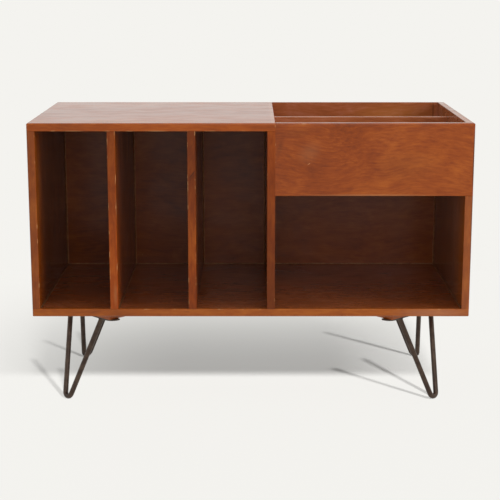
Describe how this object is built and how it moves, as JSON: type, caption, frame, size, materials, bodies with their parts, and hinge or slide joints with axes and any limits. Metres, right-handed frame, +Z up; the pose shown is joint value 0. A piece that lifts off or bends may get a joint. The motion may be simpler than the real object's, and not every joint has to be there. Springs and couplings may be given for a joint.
{
  "type": "record storage stand",
  "caption": "Low record storage stand on hairpin legs: upright record bays on the left, an open-topped browsing bin over an open cubby on the right.",
  "frame": {"origin": "on the floor, under the middle of the cabinet", "axes": "+X to the viewer's right along the cabinet, +Y from the open front to the back, +Z up"},
  "size_m": [1, 0.48, 0.662],
  "materials": {
    "stained_board": "reddish-brown stain under satin varnish",
    "stained_back": "reddish-brown stained plywood, satin",
    "bronzed_steel": "dark bronze lacquer, satin",
    "screw_steel": "blackened"
  },
  "bodies": {
    "root": {"bottom_panel": "stained_board", "top_panel": "stained_board", "left_side_panel": "stained_board", "right_side_panel": "stained_board", "slot_divider_1": "stained_board", "slot_divider_2": "stained_board", "centre_partition": "stained_board", "back_panel": "stained_back", "bin_front_panel": "stained_board", "bin_floor_panel": "stained_board", "bin_divider": "stained_board", "leg_cleat_front_left": "stained_board", "leg_plate_front_left": "bronzed_steel", "hairpin_leg_front_left": "bronzed_steel", "leg_screw_front_left_1": "screw_steel", "leg_screw_front_left_2": "screw_steel", "leg_screw_front_left_3": "screw_steel", "leg_screw_front_left_4": "screw_steel", "leg_cleat_front_right": "stained_board", "leg_plate_front_right": "bronzed_steel", "hairpin_leg_front_right": "bronzed_steel", "leg_screw_front_right_1": "screw_steel", "leg_screw_front_right_2": "screw_steel", "leg_screw_front_right_3": "screw_steel", "leg_screw_front_right_4": "screw_steel", "leg_cleat_back_left": "stained_board", "leg_plate_back_left": "bronzed_steel", "hairpin_leg_back_left": "bronzed_steel", "leg_screw_back_left_1": "screw_steel", "leg_screw_back_left_2": "screw_steel", "leg_screw_back_left_3": "screw_steel", "leg_screw_back_left_4": "screw_steel", "leg_cleat_back_right": "stained_board", "leg_plate_back_right": "bronzed_steel", "hairpin_leg_back_right": "bronzed_steel", "leg_screw_back_right_1": "screw_steel", "leg_screw_back_right_2": "screw_steel", "leg_screw_back_right_3": "screw_steel", "leg_screw_back_right_4": "screw_steel"}
  },
  "joints": []
}
